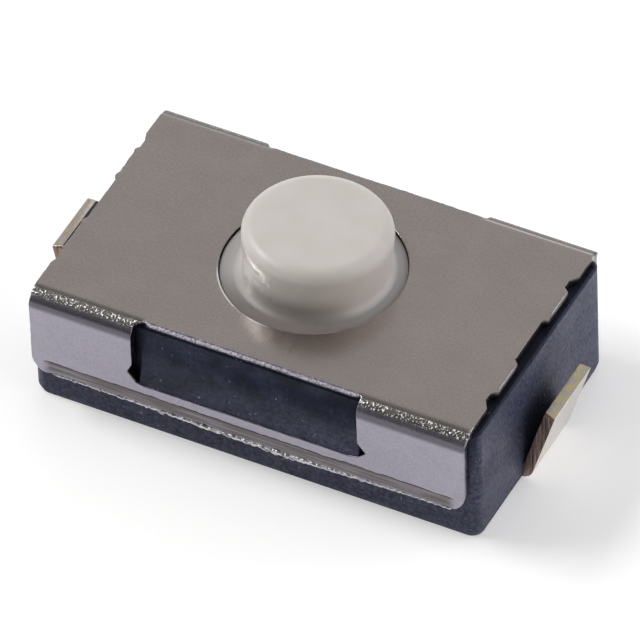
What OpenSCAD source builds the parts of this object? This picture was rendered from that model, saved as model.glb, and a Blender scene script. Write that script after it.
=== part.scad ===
// Surface-mount push button switch with a folded steel cover.
// X runs along the length, Y across the width and Z up from the circuit board.
// The origin is at the middle of the underside. All sizes are in millimetres.
//
// The black base is moulded round the two terminals, whose flat contacts lie in the floor of a
// round well. A snap dome rests on the outer contact, and the button stands on the dome. The cover
// holds the button's flange down, and its skirts snap under the base's two latch blocks.

/* [Base] */
// Length of the base over its end walls
base_len = 6.0; // [5.8:0.1:8]
// Width of the base over its long walls, without the latch blocks
base_wid = 3.36; // [3.3:0.02:5]
// Height of the base, up to the face that carries the cover
base_ht = 1.70; // [1.6:0.05:2.5]
// Radius of the base's four upright corners
base_corner_r = 0.15; // [0.05:0.01:0.3]
// Chamfer round the base's lower edge
base_foot_chamfer = 0.10; // [0.02:0.01:0.12]
// Chamfer round the base's upper edge
base_rim_chamfer = 0.03; // [0.01:0.01:0.06]
// Radius of the round well for the dome and the button's flange
well_r = 1.42; // [1.4:0.01:1.5]
// Height of the well's floor, which is also the top of the contacts
floor_ht = 0.50; // [0.44:0.01:0.6]
// Lead-in chamfer round the well's mouth
well_chamfer = 0.05; // [0.01:0.01:0.1]

/* [Latch blocks] */
// Length of the latch block in the middle of each long wall
latch_len = 2.84; // [2:0.02:3.6]
// How far each latch block stands out of its wall
latch_out = 0.12; // [0.06:0.01:0.15]
// Height of the upright face at the bottom of each latch block
latch_face = 0.42; // [0.1:0.02:0.5]
// Gap between the top of each latch block and the top of the base
latch_drop = 0.06; // [0.02:0.01:0.15]
// Clearance between each latch block and the strip below it
latch_clear = 0.02; // [0.01:0.01:0.05]

/* [Cover] */
// Thickness of the cover's steel sheet
sheet = 0.10; // [0.06:0.01:0.14]
// Gap between the base's long walls and the cover's skirts
skirt_gap = 0.06; // [0.05:0.01:0.15]
// How far the cover's ends lie inside the base's end walls
cover_inset = 0.08; // [0.03:0.01:0.2]
// Inner radius of the bend between the top plate and each skirt
bend_r = 0.14; // [0.05:0.01:0.2]
// Height of the skirts' lower edge above the circuit board
skirt_ht = 0.50; // [0.3:0.01:0.6]
// Width of the strip that joins the two legs of each skirt
strip_wid = 0.38; // [0.3:0.01:0.45]
// Radius of the lower corners of each skirt
skirt_corner_r = 0.27; // [0.1:0.01:0.3]
// Gap between a latch block and each side of the window round it
window_gap = 0.075; // [0.03:0.005:0.15]
// How far the plate's edge over a window lies inside the skirt's outer face
window_in = 0.145; // [0.12:0.005:0.25]
// Radius of the upper corners of each window
window_corner_r = 0.10; // [0.04:0.01:0.15]
// How far the relief notches reach past the sides of a window
notch_out = 0.11; // [0.05:0.01:0.15]
// Height of the relief notches
notch_ht = 0.22; // [0.12:0.01:0.25]
// Width of the band that is pressed in along each skirt's lower edge
crimp_wid = 0.25; // [0.1:0.01:0.3]
// How far the lower edge of the pressed band moves inwards
crimp_in = 0.05; // [0.01:0.01:0.05]
// Depth of the sharp step at the top of the pressed band
crimp_step = 0.012; // [0.004:0.001:0.02]
// Distance from each end of the skirt to the pressed band
crimp_inset = 0.14; // [0.05:0.01:0.4]

/* [Cover ends] */
// Width of the recess in the middle of each end of the plate
end_recess_wid = 0.84; // [0.4:0.02:1]
// Depth of the recess in the middle of each end
end_recess_in = 0.065; // [0.02:0.005:0.1]
// Width of each of the two lugs beside the recess
lug_wid = 0.52; // [0.2:0.01:0.6]
// Width of the notch on the outer side of each lug
lug_notch_wid = 0.30; // [0.2:0.01:0.34]
// Depth of the notch on the outer side of each lug
lug_notch_in = 0.075; // [0.02:0.005:0.1]
// Length of the slope from a lug's edge to a recess
lug_slope = 0.06; // [0.02:0.01:0.09]

/* [Button] */
// Diameter of the button's round head
head_d = 1.83; // [1.2:0.01:1.9]
// Height of the head's top above the cover's top face
head_out = 0.70; // [0.45:0.05:3]
// Radius of the head's upper edge
head_edge_r = 0.07; // [0.02:0.01:0.1]
// How far the head's side leans in from its foot to its top
head_draft = 0.015; // [0.005:0.005:0.03]
// Radius of the hollow between the head and its collar
head_foot_r = 0.17; // [0.1:0.01:0.2]
// Diameter of the collar that slides in the cover's hole
collar_d = 2.18; // [2:0.01:2.3]
// Clearance between the collar and the cover's hole, on the radius
collar_play = 0.04; // [0.02:0.005:0.08]
// How far the collar's rim lies below the cover's top face
collar_below = 0.05; // [0.02:0.005:0.07]
// Clearance between the button's flange and the wall of the well
flange_play = 0.08; // [0.05:0.01:0.12]
// Thickness of the flange that the cover holds down
flange_t = 0.26; // [0.15:0.01:0.3]
// Gap between the flange and the cover at rest
flange_gap = 0.01; // [0.005:0.005:0.03]
// Diameter of the stub that presses the dome
stub_d = 0.90; // [0.5:0.02:1.2]
// How far the button travels
travel = 0.25; // [0.1:0.01:0.25]

/* [Snap dome] */
// Thickness of the dome's spring sheet
dome_t = 0.05; // [0.03:0.01:0.08]
// Clearance between the dome's rim and the wall of the well
dome_play = 0.10; // [0.05:0.01:0.15]
// Height of the dome's crown above the contacts
dome_rise = 0.40; // [0.35:0.01:0.5]
// Gap between the dome's crown and the stub at rest
stub_gap = 0.02; // [0.01:0.01:0.05]

/* [Terminals] */
// Thickness of the terminals' brass sheet
term_t = 0.14; // [0.1:0.01:0.16]
// Width of each terminal
term_wid = 0.98; // [0.6:0.02:1.2]
// Height of each terminal's upper end, at the middle of the sheet
term_ht = 1.17; // [0.6:0.01:1.5]
// Lean of the upright part away from the end wall, in degrees
term_lean = 17; // [5:1:25]
// Gap from the end wall to the middle of the sheet, where the upright part starts
term_gap = 0.03; // [0.02:0.01:0.1]
// Bend radius at the middle of the sheet
term_bend_r = 0.12; // [0.1:0.01:0.14]
// Radius of the upper corners of each terminal
term_corner_r = 0.06; // [0.02:0.01:0.15]
// Length of the flat lead between each contact's outer edge and the riser
lead_len = 0.36; // [0.3:0.01:0.5]
// Length of the sloping riser between the lead and the foot in the underside
riser_len = 0.25; // [0.2:0.05:0.3]

/* [Contacts] */
// Width of the outer contact's ring
ring_wid = 0.36; // [0.2:0.01:0.4]
// Clearance between the ring and the wall of the well
ring_play = 0.06; // [0.03:0.01:0.1]
// Radius of the centre contact
pad_r = 0.42; // [0.25:0.01:0.5]
// Radius of the raised spot on the centre contact
spot_r = 0.26; // [0.1:0.01:0.3]
// Height of the raised spot
spot_ht = 0.03; // [0.01:0.01:0.05]
// Width of the tongue that leads to the centre contact
tongue_wid = 0.36; // [0.2:0.02:0.5]
// Gap on each side of the tongue, where it passes the ring
tongue_gap = 0.12; // [0.08:0.01:0.2]

/* [Hidden] */
$fn = 96;
eps = 0.01;
cut_over = 1;
arc_steps = 8;

// Cover, from the base outwards
skirt_y = base_wid / 2 + skirt_gap + sheet;
cover_x = base_len / 2 - cover_inset;
cover_top = base_ht + sheet;
hole_r = collar_d / 2 + collar_play;
bend_out = bend_r + sheet;
window_x = latch_len / 2 + window_gap;
window_low = skirt_ht + strip_wid;
crimp_top = skirt_ht + crimp_wid;
latch_low = window_low + latch_clear;
latch_high = base_ht - latch_drop;

// Button and dome, from the contacts upwards
dome_r = well_r - dome_play;
dome_top = floor_ht + dome_rise;
dome_ball_r = (pow(dome_r, 2) + pow(dome_rise, 2)) / (2 * dome_rise);
stub_low = dome_top + stub_gap;
flange_top = base_ht - flange_gap;
flange_low = flange_top - flange_t;
flange_r = well_r - flange_play;
collar_top = cover_top - collar_below;
head_top = cover_top + head_out;

// Terminals, in a section with X pointing out of the end wall
contact_mid = floor_ht - term_t / 2;
upright_x = base_len / 2 + term_gap;
ring_out = well_r - ring_play;
ring_in = ring_out - ring_wid;
shoulder = ring_out + tongue_gap;
riser_in = shoulder + lead_len;
foot_in = riser_in + riser_len;

assert(crimp_wid < strip_wid, "the pressed band is narrower than the strip");
assert(travel < flange_low - floor_ht, "the flange stays above the contacts");

// Rectangle with rounded corners, centred on the origin
module round_rect(x, y, r) {
    hull()
        for (i = [-1, 1], j = [-1, 1])
            translate([i * (x / 2 - r), j * (y / 2 - r)]) circle(r = r, $fn = 32);
}

// Repeats its child at both ends of the base, or at both long sides
module both_ends() {
    for (a = [0, 180]) rotate([0, 0, a]) children();
}

// Unit vectors along and to the left of a direction given in degrees
function along(a) = [cos(a), sin(a)];
function left_of(a) = [-sin(a), cos(a)];

// Outline of a folded sheet: one side of the centre line of a path with rounded bends.
// side is 1 for the left face and -1 for the right face.
function heading(path, i) = atan2(path[i + 1][1] - path[i][1], path[i + 1][0] - path[i][0]);
function bend_points(p, a1, a2, r, off) =
    let (turn = a2 - a1, s = sign(turn), reach = r * tan(abs(turn) / 2),
         centre = p - reach * along(a1) + s * r * left_of(a1))
    [for (k = [0 : arc_steps]) centre - (s * r - off) * left_of(a1 + turn * k / arc_steps)];
function face_points(path, r, t, side) =
    let (last = len(path) - 1, off = side * t / 2)
    concat([path[0] + off * left_of(heading(path, 0))],
           [for (i = [1 : last - 1]) each bend_points(path[i], heading(path, i - 1), heading(path, i), r, off)],
           [path[last] + off * left_of(heading(path, last - 1))]);
function reversed(list) = [for (i = [len(list) - 1 : -1 : 0]) list[i]];
function folded_sheet(path, r, t) =
    concat(face_points(path, r, t, 1), reversed(face_points(path, r, t, -1)));

// Centre line of a terminal: contact, riser, foot and the upright part outside the end wall
function terminal_path(inner_x) = [
    [inner_x, contact_mid],
    [riser_in, contact_mid],
    [foot_in, term_t / 2],
    [upright_x, term_t / 2],
    [upright_x + (term_ht - term_t / 2) * tan(term_lean), term_ht]
];

// Side view of a terminal's upper end, with its two corners rounded
module terminal_width_limit() {
    top = term_ht + term_t;
    translate([0, (top - cut_over) / 2]) round_rect(term_wid, top + cut_over, term_corner_r);
}

// One terminal's folded sheet, at the +X end
module folded_terminal(inner_x) {
    tip_cut = term_ht + term_t / 2 * sin(term_lean);
    intersection() {
        rotate([90, 0, 0])
            linear_extrude(height = term_wid, center = true)
                polygon(folded_sheet(terminal_path(inner_x), term_bend_r, term_t));
        union() {
            translate([inner_x - eps, -term_wid / 2, -eps])
                cube([upright_x - inner_x, term_wid, floor_ht + eps]);
            translate([base_len / 2 - 2 * term_bend_r, 0, tip_cut - term_ht - term_t])
                rotate([90, 0, 90]) linear_extrude(height = base_len) terminal_width_limit();
        }
    }
}

// Flat contact sheet of a given outline, level with the floor of the well
module contact_sheet() {
    translate([0, 0, floor_ht - term_t]) linear_extrude(height = term_t) children();
}

// Terminal with the outer contact: a ring, open where the tongue passes
module terminal_right() {
    color("Peru") {
        folded_terminal(ring_in + ring_wid / 2);
        contact_sheet() difference() {
            circle(r = ring_out);
            circle(r = ring_in);
            translate([-2 * ring_out, -tongue_wid / 2 - tongue_gap])
                square([2 * ring_out, tongue_wid + 2 * tongue_gap]);
        }
    }
}

// Terminal with the centre contact: a tongue, a round pad and its raised spot
module terminal_left() {
    color("Peru") {
        rotate([0, 0, 180]) folded_terminal(shoulder);
        contact_sheet() {
            circle(r = pad_r);
            translate([-shoulder - eps, -tongue_wid / 2]) square([shoulder + eps, tongue_wid]);
        }
        translate([0, 0, floor_ht - eps]) cylinder(r = spot_r, h = spot_ht + eps);
    }
}

// Outer block of the base, with its lower and upper edges chamfered
module base_block() {
    hull() {
        linear_extrude(height = base_ht - base_rim_chamfer)
            round_rect(base_len - 2 * base_foot_chamfer, base_wid - 2 * base_foot_chamfer, base_corner_r);
        translate([0, 0, base_foot_chamfer])
            linear_extrude(height = base_ht - base_foot_chamfer - base_rim_chamfer)
                round_rect(base_len, base_wid, base_corner_r);
        linear_extrude(height = base_ht)
            round_rect(base_len - 2 * base_rim_chamfer, base_wid - 2 * base_rim_chamfer, base_corner_r);
    }
}

// Latch block: an upright face with a ramp above it, over which the skirt slides on
module latch_block() {
    wall = base_wid / 2;
    rotate([90, 0, 90])
        linear_extrude(height = latch_len, center = true)
            polygon([
                [wall - sheet, latch_low], [wall + latch_out, latch_low],
                [wall + latch_out, latch_low + latch_face],
                [wall + latch_out * 0.5, latch_high - (latch_high - latch_low - latch_face) * 0.35],
                [wall, latch_high], [wall - sheet, latch_high]
            ]);
}

// Round well, open at the top, with a chamfered mouth
module well() {
    rotate_extrude()
        polygon([
            [0, floor_ht], [well_r, floor_ht], [well_r, base_ht - well_chamfer],
            [well_r + well_chamfer, base_ht], [well_r + well_chamfer, base_ht + cut_over],
            [0, base_ht + cut_over]
        ]);
}

// Black moulded base
module base() {
    color("DarkSlateGray")
        difference() {
            union() {
                base_block();
                both_ends() latch_block();
            }
            well();
            terminal_left();
            terminal_right();
        }
}

// Snap dome: a shallow cap of spring steel
module snap_dome() {
    color("LightSteelBlue")
        intersection() {
            translate([0, 0, dome_top - dome_ball_r])
                difference() {
                    sphere(r = dome_ball_r);
                    sphere(r = dome_ball_r - dome_t);
                }
            translate([0, 0, floor_ht]) cylinder(r = dome_r, h = dome_rise + eps);
        }
}

// Half section of the button, from its axis outwards
function head_side(z) = head_d / 2 - head_draft * (z - collar_top) / (head_top - collar_top);
function button_section() =
    let (foot_z = collar_top + head_foot_r, rim = head_side(head_top) - head_edge_r)
    concat(
        [[0, stub_low], [stub_d / 2, stub_low], [stub_d / 2, flange_low], [flange_r, flange_low],
         [flange_r, flange_top], [collar_d / 2, flange_top], [collar_d / 2, collar_top]],
        [for (k = [1 : arc_steps])
            let (a = 90 * k / arc_steps)
            [head_side(foot_z) + head_foot_r * (1 - sin(a)), foot_z - head_foot_r * cos(a)]],
        [for (k = [0 : arc_steps])
            let (a = 90 * k / arc_steps)
            [rim + head_edge_r * cos(a), head_top - head_edge_r * (1 - sin(a))]],
        [[0, head_top]]);

// Button: head, hollow foot, collar, flange and stub, moulded as one
module button() {
    color("Linen") rotate_extrude() polygon(button_section());
}

// Section across the cover: the plate and its two bent skirts
module cover_section() {
    y = skirt_y - bend_out;
    z = cover_top - bend_out;
    translate([-y, base_ht]) square([2 * y, sheet]);
    for (s = [0, 1]) mirror([s, 0]) {
        translate([y, z]) intersection() {
            difference() {
                circle(r = bend_out);
                circle(r = bend_r);
            }
            square(bend_out);
        }
        translate([skirt_y - sheet, skirt_ht]) square([sheet, z - skirt_ht]);
    }
}

// Front view of a skirt's blank, with its lower corners rounded
module skirt_outline() {
    hull() {
        for (s = [-1, 1])
            translate([s * (cover_x - skirt_corner_r), skirt_ht + skirt_corner_r])
                circle(r = skirt_corner_r, $fn = 32);
        translate([-cover_x, skirt_ht + skirt_corner_r])
            square([2 * cover_x, cover_top - skirt_ht - skirt_corner_r]);
    }
}

// Front view of a skirt's window, with a pointed relief notch at each lower corner
module window_outline() {
    tip = window_x + notch_out;
    tip_z = window_low + notch_ht * 0.42;
    polygon([
        [-window_x + notch_out, window_low], [window_x - notch_out, window_low],
        [window_x, window_low + notch_ht * 0.12], [tip - 0.02, tip_z - 0.03], [tip, tip_z],
        [window_x, window_low + notch_ht], [window_x, cover_top + eps], [-window_x, cover_top + eps],
        [-window_x, window_low + notch_ht], [-tip, tip_z], [-tip + 0.02, tip_z - 0.03],
        [-window_x, window_low + notch_ht * 0.12]
    ]);
}

// Plan of one end's recess and the notches outside its lugs, at the +X end
module end_cutouts() {
    half = end_recess_wid / 2;
    polygon([
        [cover_x + cut_over, -half], [cover_x, -half], [cover_x - end_recess_in, -half + lug_slope],
        [cover_x - end_recess_in, half - lug_slope], [cover_x, half], [cover_x + cut_over, half]
    ]);
    for (s = [-1, 1]) scale([1, s]) {
        from = half + lug_wid;
        to = from + lug_notch_wid;
        polygon([
            [cover_x + cut_over, from], [cover_x, from], [cover_x - lug_notch_in, from + lug_slope],
            [cover_x - lug_notch_in, to - 2 * lug_slope], [cover_x, to], [cover_x + cut_over, to]
        ]);
    }
}

// Plan of a pressed band, whose depth fades out at both ends. face is the Y of the unpressed sheet.
module band_plan(face) {
    full_x = cover_x - skirt_corner_r;
    end_x = cover_x - crimp_inset;
    polygon([
        [-full_x, face - crimp_in - eps], [full_x, face - crimp_in - eps], [end_x, face],
        [end_x, face + cut_over], [-end_x, face + cut_over], [-end_x, face]
    ]);
}

// Removes the sheet in front of the pressed band, on the +Y side
module band_front_cut() {
    intersection() {
        rotate([90, 0, 90])
            linear_extrude(height = 2 * cover_x, center = true)
                polygon([
                    [skirt_y + cut_over, crimp_top], [skirt_y - crimp_step, crimp_top],
                    [skirt_y - crimp_in, skirt_ht], [skirt_y - crimp_in, skirt_ht - eps],
                    [skirt_y + cut_over, skirt_ht - eps]
                ]);
        linear_extrude(height = cover_top) band_plan(skirt_y);
    }
}

// Adds the same band behind it, so that the sheet keeps its thickness
module band_back() {
    inner_y = skirt_y - sheet;
    intersection() {
        rotate([90, 0, 90])
            linear_extrude(height = 2 * cover_x, center = true)
                polygon([
                    [inner_y + eps, crimp_top], [inner_y, crimp_top],
                    [inner_y - crimp_in, skirt_ht], [inner_y + eps, skirt_ht]
                ]);
        rotate([90, 0, 0]) linear_extrude(height = 2 * skirt_y, center = true) skirt_outline();
        linear_extrude(height = cover_top) band_plan(inner_y);
    }
}

// Folded steel cover
module cover() {
    color("Silver")
        difference() {
            union() {
                intersection() {
                    rotate([90, 0, 90])
                        linear_extrude(height = 2 * cover_x, center = true) cover_section();
                    rotate([90, 0, 0])
                        linear_extrude(height = 3 * skirt_y, center = true) skirt_outline();
                }
                both_ends() band_back();
            }
            translate([0, 0, base_ht - cut_over]) cylinder(r = hole_r, h = 2 * cut_over);
            both_ends() {
                band_front_cut();
                translate([0, 0, base_ht - cut_over]) linear_extrude(height = 2 * cut_over) end_cutouts();
                intersection() {
                    translate([0, 2 * skirt_y, 0])
                        rotate([90, 0, 0])
                            linear_extrude(height = 2 * skirt_y - (base_wid / 2)) window_outline();
                    translate([0, 2 * skirt_y - window_in, 0])
                        linear_extrude(height = cover_top + cut_over)
                            round_rect(2 * (window_x + 2 * notch_out), 2 * skirt_y, window_corner_r);
                }
            }
        }
}

base();
terminal_left();
terminal_right();
snap_dome();
button();
cover();
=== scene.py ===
"""Studio scene of a surface-mount push button switch with a folded steel cover.

Sizes in the classes are millimetres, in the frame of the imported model: X along the length,
Y across the width, Z up from the circuit board. Meshes are written in metres.
"""

import logging
import math
from dataclasses import dataclass
from enum import Enum
from functools import partial
from types import SimpleNamespace

import bmesh
import bpy
from mathutils import Matrix, Vector, noise


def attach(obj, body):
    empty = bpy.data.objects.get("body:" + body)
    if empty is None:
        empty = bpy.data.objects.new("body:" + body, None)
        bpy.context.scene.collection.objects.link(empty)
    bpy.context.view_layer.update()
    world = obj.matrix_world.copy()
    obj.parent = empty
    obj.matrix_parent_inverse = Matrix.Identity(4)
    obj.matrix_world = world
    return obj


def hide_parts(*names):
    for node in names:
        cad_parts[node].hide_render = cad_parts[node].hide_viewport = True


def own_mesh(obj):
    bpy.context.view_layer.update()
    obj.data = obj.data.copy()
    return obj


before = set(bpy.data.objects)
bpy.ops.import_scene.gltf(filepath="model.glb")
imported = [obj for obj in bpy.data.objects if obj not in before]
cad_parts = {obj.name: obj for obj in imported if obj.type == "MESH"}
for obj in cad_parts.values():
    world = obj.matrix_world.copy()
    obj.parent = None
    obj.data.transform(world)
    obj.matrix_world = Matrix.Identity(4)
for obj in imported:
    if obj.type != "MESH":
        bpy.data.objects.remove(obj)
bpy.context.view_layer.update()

LOG = logging.getLogger("switch")
MM = 0.001
PLATE_TOP = 1.80
HOLE_RADIUS = 1.145
HOLE_CENTRE = (-0.031, 0.035)

Point = tuple[float, float]
Point3 = tuple[float, float, float]
Loop = list[Point]


class Body(Enum):
    """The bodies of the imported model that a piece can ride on."""

    HOUSING = "housing"
    BUTTON = "button"


class Slot(Enum):
    """The record's material slots."""

    BASE = "base_plastic"
    COVER = "cover_steel"
    BUTTON = "button_plastic"
    DOME = "dome_steel"
    TERMINAL = "terminal_brass"


def linear(hex_colour: str) -> tuple[float, float, float, float]:
    """Turns an sRGB hex colour into linear light.

    Args:
        hex_colour: six hex digits after a hash sign.

    Returns:
        Red, green, blue and an alpha of one.
    """
    parts = [int(hex_colour[i : i + 2], 16) / 255 for i in (1, 3, 5)]
    light = [c / 12.92 if c <= 0.04045 else ((c + 0.055) / 1.055) ** 2.4 for c in parts]
    return (light[0], light[1], light[2], 1.0)


def per_mm(x: float, y: float | None = None, z: float | None = None) -> Vector:
    """Scale of a pattern on Object coordinates whose features have these sizes.

    Args:
        x: size of a feature along X, in millimetres.
        y: size along Y, or None for the same as X.
        z: size along Z, or None for the same as X.

    Returns:
        The scale for a Mapping node.
    """
    return Vector((1 / (x * MM), 1 / ((y or x) * MM), 1 / ((z or x) * MM)))


def add_node(
    tree: bpy.types.NodeTree,
    kind: str,
    settings: dict[str, object] | None = None,
    inputs: dict[str | int, object] | None = None,
) -> bpy.types.Node:
    """Adds a node with its settings, its values and its links.

    Args:
        tree: the tree that gets the node.
        kind: the node's type name.
        settings: the node's own properties by name.
        inputs: for each input, by name or number, a value, or the output socket that feeds
            it, or a node for that node's first output in use.

    Returns:
        The new node.
    """
    node = tree.nodes.new(kind)
    for name, value in (settings or {}).items():
        setattr(node, name, value)
    for key, value in (inputs or {}).items():
        if isinstance(value, bpy.types.Node):
            value = next(output for output in value.outputs if output.enabled)
        if isinstance(value, bpy.types.NodeSocket):
            tree.links.new(value, node.inputs[key])
        else:
            node.inputs[key].default_value = value
    return node


def wobble(position: float, wave: float, seed: float) -> float:
    """Smooth seeded noise along an edge.

    Args:
        position: place along the edge, in millimetres.
        wave: length of a wave, in millimetres.
        seed: tells one edge from another.

    Returns:
        A number from about -1 to 1.
    """
    return noise.noise(Vector((position / wave, seed * 7.31, seed * 1.7)))


def eased(share: float) -> float:
    """A share held between 0 and 1 that starts and ends gently."""
    share = min(1.0, max(0.0, share))
    return share * share * (3 - 2 * share)


def turned(radius: float, degrees: float) -> Point:
    """A point on a circle round the origin."""
    return radius * math.cos(math.radians(degrees)), radius * math.sin(math.radians(degrees))


def toward(azimuth: float, elevation: float) -> Vector:
    """Direction from the object to a view's camera, for angles in degrees."""
    x, y = turned(math.cos(math.radians(elevation)), azimuth - 90.0)
    return Vector((x, y, math.sin(math.radians(elevation))))


def cut(bm: bmesh.types.BMesh, spot: Point3, normal: Point3) -> None:
    """Cuts the whole mesh along the plane through spot."""
    parts = bm.verts[:] + bm.edges[:] + bm.faces[:]
    bmesh.ops.bisect_plane(bm, geom=parts, dist=1e-6, plane_co=spot, plane_no=normal)


def mesh_piece(
    name: str, bm: bmesh.types.BMesh, material: bpy.types.Material, sharp: float
) -> bpy.types.Object:
    """Makes a smooth-shaded object of a mesh in millimetres.

    Args:
        name: the object's name.
        bm: the mesh, in millimetres; it is freed.
        material: the mesh's only material.
        sharp: edges that turn by more than this, in degrees, stay sharp.

    Returns:
        The object, at the origin, in metres.
    """
    bmesh.ops.scale(bm, vec=(MM, MM, MM), verts=bm.verts)
    mesh = bpy.data.meshes.new(name)
    bm.to_mesh(mesh)
    bm.free()
    mesh.materials.append(material)
    mesh.shade_smooth()
    mesh.set_sharp_from_angle(angle=math.radians(sharp))
    piece = bpy.data.objects.new(name, mesh)
    bpy.context.scene.collection.objects.link(piece)
    return piece


def weigh_normals(piece: bpy.types.Object) -> None:
    """Keeps flat faces flat beside their small rounded edges.

    Args:
        piece: the piece whose normals are weighted by the size of its faces.
    """
    modifier = piece.modifiers.new("flat faces", "WEIGHTED_NORMAL")
    modifier.keep_sharp = True
    modifier.weight = 100


def place(
    piece: bpy.types.Object, body: Body, replaced: tuple[str, ...] = ()
) -> None:
    """Gives a piece its body and the CAD nodes that it stands for.

    Args:
        piece: the finished piece.
        body: the body that it rides on.
        replaced: CAD nodes that it replaces.
    """
    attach(piece, body.value)
    if replaced:
        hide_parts(*replaced)
    LOG.info("%s: %d faces, rides on %s", piece.name, len(piece.data.polygons), body.value)


MATH, VECTOR, MIX = "ShaderNodeMath", "ShaderNodeVectorMath", "ShaderNodeMix"
RANGE, AXES = "ShaderNodeMapRange", "ShaderNodeSeparateXYZ"
EVEN: dict[str, str] = {}
SMOOTH = {"interpolation_type": "SMOOTHSTEP"}
COLOURS = {"data_type": "RGBA"}
PLUS, MINUS = {"operation": "ADD"}, {"operation": "SUBTRACT"}
TIMES, TIMES_PLUS = {"operation": "MULTIPLY"}, {"operation": "MULTIPLY_ADD"}
MOST, UNSIGNED = {"operation": "MAXIMUM"}, {"operation": "ABSOLUTE"}
LENGTH, SCALED = {"operation": "LENGTH"}, {"operation": "SCALE"}


def steps(
    low: float, high: float, first: float = 0.0, last: float = 1.0, unit: float = 1.0
) -> dict[str, float]:
    """Inputs of a Map Range node.

    Args:
        low: where the value is first.
        high: where the value is last.
        first: the value at low and below.
        last: the value at high and above.
        unit: what low and high are multiplied by.

    Returns:
        The inputs by name.
    """
    return {"From Min": low * unit, "From Max": high * unit, "To Min": first, "To Max": last}


class Finish:
    """A procedural material on Object coordinates."""

    name: str = ""

    def start(
        self, **patterns: tuple[Vector, float]
    ) -> tuple[bpy.types.Material, partial, bpy.types.NodeSocket, SimpleNamespace]:
        """Makes the material's tree, with its coordinates and its noise patterns.

        Args:
            patterns: scale and detail of each pattern by name.

        Returns:
            The material, add_node() for its tree, the Object coordinates, and the patterns by
            name beside the axes x, y and z.
        """
        material = bpy.data.materials.new(self.name)
        material.use_nodes = True
        material.node_tree.nodes.clear()
        add = partial(add_node, material.node_tree)
        coords = add("ShaderNodeTexCoord").outputs["Object"]
        x, y, z = add(AXES, {}, {0: coords}).outputs
        found = SimpleNamespace(x=x, y=y, z=z)
        for name, (scale, detail) in patterns.items():
            scaled = add("ShaderNodeMapping", {}, {"Vector": coords, "Scale": scale})
            inputs = {"Vector": scaled, "Scale": 1.0, "Detail": detail}
            setattr(found, name, add("ShaderNodeTexNoise", {}, inputs))
        return material, add, coords, found

    @staticmethod
    def surface(
        add: partial,
        tone: bpy.types.Node,
        rough: bpy.types.Node | float,
        height: bpy.types.Node,
        relief: float,
        strength: float = 1.0,
        **others: object,
    ) -> None:
        """Adds the relief, the shader and the output.

        Args:
            add: add_node() for the tree.
            tone: colour of the surface.
            rough: roughness of the surface.
            height: height of the relief.
            relief: depth of the relief, in millimetres.
            strength: share of the relief that shows.
            others: more inputs of the shader, with low lines for spaces.
        """
        inputs = {"Height": height, "Strength": strength, "Distance": relief * MM}
        bump = add("ShaderNodeBump", {}, inputs)
        inputs = {"Base Color": tone, "Roughness": rough, "Normal": bump}
        inputs |= {name.replace("_", " "): value for name, value in others.items()}
        shader = add("ShaderNodeBsdfPrincipled", {}, inputs)
        add("ShaderNodeOutputMaterial", {}, {"Surface": shader})


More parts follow.
